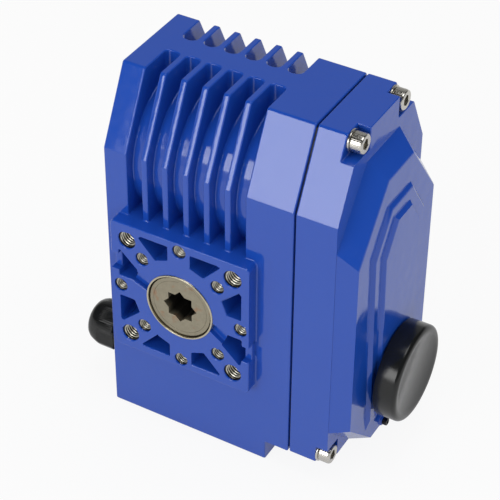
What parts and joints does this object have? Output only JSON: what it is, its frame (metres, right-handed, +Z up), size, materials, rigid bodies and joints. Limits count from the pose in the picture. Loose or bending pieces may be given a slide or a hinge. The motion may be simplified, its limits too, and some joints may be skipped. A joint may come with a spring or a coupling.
{
  "type": "quarter-turn electric actuator",
  "caption": "Finned blue quarter-turn actuator that turns a valve stem through a worm gear, with a hand knob, a star drive socket and a flanged mounting pad.",
  "frame": {"origin": "centre of the drive socket on the face of the mounting pad", "axes": "+Y runs along the drive axis from the pad into the body, +X towards the cover and hand knob, +Z up towards the fins' top"},
  "size_m": [0.1477, 0.0904, 0.1678],
  "materials": {
    "enamel": "gloss blue enamel on die-cast aluminium",
    "bright_steel": "bright zinc-plated steel",
    "machined_steel": "turned and ground steel",
    "drive_steel": "brownish machined steel",
    "gear_steel": "cut steel teeth",
    "bronze": "cast bronze",
    "black_moulding": "moulded black nylon",
    "white_moulding": "moulded acetal",
    "clear_window": "clear moulded window",
    "dial": "yellow dial",
    "black_rubber": "black rubber",
    "zinc_plate": "zinc-plated sheet",
    "motor_iron": "laminated iron",
    "copper": "varnished copper wire",
    "board_green": "green circuit board",
    "terminal_grey": "moulded terminal block",
    "relay_case": "moulded relay case",
    "capacitor_case": "moulded capacitor case"
  },
  "bodies": {
    "root": {"main_housing": "enamel", "cover": "enamel", "cover_gasket": "black_rubber", "cover_screws": "bright_steel", "cover_screw_washers": "bright_steel", "front_bush": "bronze", "output_seal": "black_rubber", "rear_bush": "bronze", "worm_bearing_outer_rings": "machined_steel", "worm_bearing_shields": "bright_steel", "gear_axles": "machined_steel", "axle_clips": "machined_steel", "axle_spacers": "bronze", "gear_plate": "zinc_plate", "gear_plate_screws": "bright_steel", "motor_can": "zinc_plate", "motor_end_bell": "enamel", "motor_stator": "motor_iron", "motor_windings": "copper", "motor_bushes": "bronze", "rear_cap": "enamel", "rear_cap_screws": "bright_steel", "spindle_seal": "black_rubber", "indicator_window": "clear_window", "indicator_window_screws": "bright_steel", "position_sensor": "black_moulding", "knob_bush": "bronze", "knob_lock_screw": "machined_steel", "gland_washer": "black_rubber", "gland_body": "black_moulding", "gland_dome_nut": "black_moulding", "gland_seal": "black_rubber", "control_board": "board_green", "board_standoffs": "bright_steel", "board_screws": "bright_steel", "terminal_block": "terminal_grey", "terminal_screws": "bright_steel", "relays": "relay_case", "motor_capacitor": "capacitor_case"},
    "output": {"output_shaft": "machined_steel", "drive_insert": "drive_steel", "worm_wheel": "bronze", "wheel_key": "machined_steel", "wheel_circlip": "machined_steel", "feedback_gear": "white_moulding", "indicator_disc": "dial"},
    "worm": {"worm_shaft": "machined_steel", "worm_bearing_inner_rings": "machined_steel", "worm_input_gear": "gear_steel", "hand_knob": "black_moulding", "knob_pin": "machined_steel"},
    "idler": {"idler_gear": "gear_steel"},
    "compound": {"compound_gear": "gear_steel"},
    "motor": {"motor_rotor": "motor_iron", "motor_pinion": "gear_steel"},
    "sensor": {"sensor_gear": "white_moulding"}
  },
  "joints": [
    {"name": "motor_spin", "type": "hinge", "parent": "root", "child": "motor", "pos_m": [0, 0.0423, 0.0525], "axis": [-1, 0, 0], "range_deg": [0, 12480]},
    {"name": "compound_spin", "type": "hinge", "parent": "root", "child": "compound", "pos_m": [0, 0.0423, 0.025], "axis": [1, 0, 0], "range_deg": [0, 4682.34]},
    {"name": "idler_spin", "type": "hinge", "parent": "root", "child": "idler", "pos_m": [0, 0.05029, 0.00131], "axis": [-1, 0, 0], "range_deg": [0, 3121.56]},
    {"name": "worm_spin", "type": "hinge", "parent": "root", "child": "worm", "pos_m": [0, 0.0423, -0.0289], "axis": [1, 0, 0], "range_deg": [0, 2881.44]},
    {"name": "output_turn", "type": "hinge", "parent": "root", "child": "output", "pos_m": [0, 0, 0], "axis": [0, 1, 0], "range_deg": [0, 90.05]},
    {"name": "sensor_spin", "type": "hinge", "parent": "root", "child": "sensor", "pos_m": [0.015, 0, 0], "axis": [0, -1, 0], "range_deg": [0, 180.09]}
  ],
  "couplings": [
    {"joint": "compound_spin", "follows": "motor_spin", "ratio": 0.375},
    {"joint": "idler_spin", "follows": "motor_spin", "ratio": 0.25},
    {"joint": "worm_spin", "follows": "motor_spin", "ratio": 0.23077},
    {"joint": "output_turn", "follows": "motor_spin", "ratio": 0.0072115},
    {"joint": "sensor_spin", "follows": "motor_spin", "ratio": 0.014423}
  ]
}
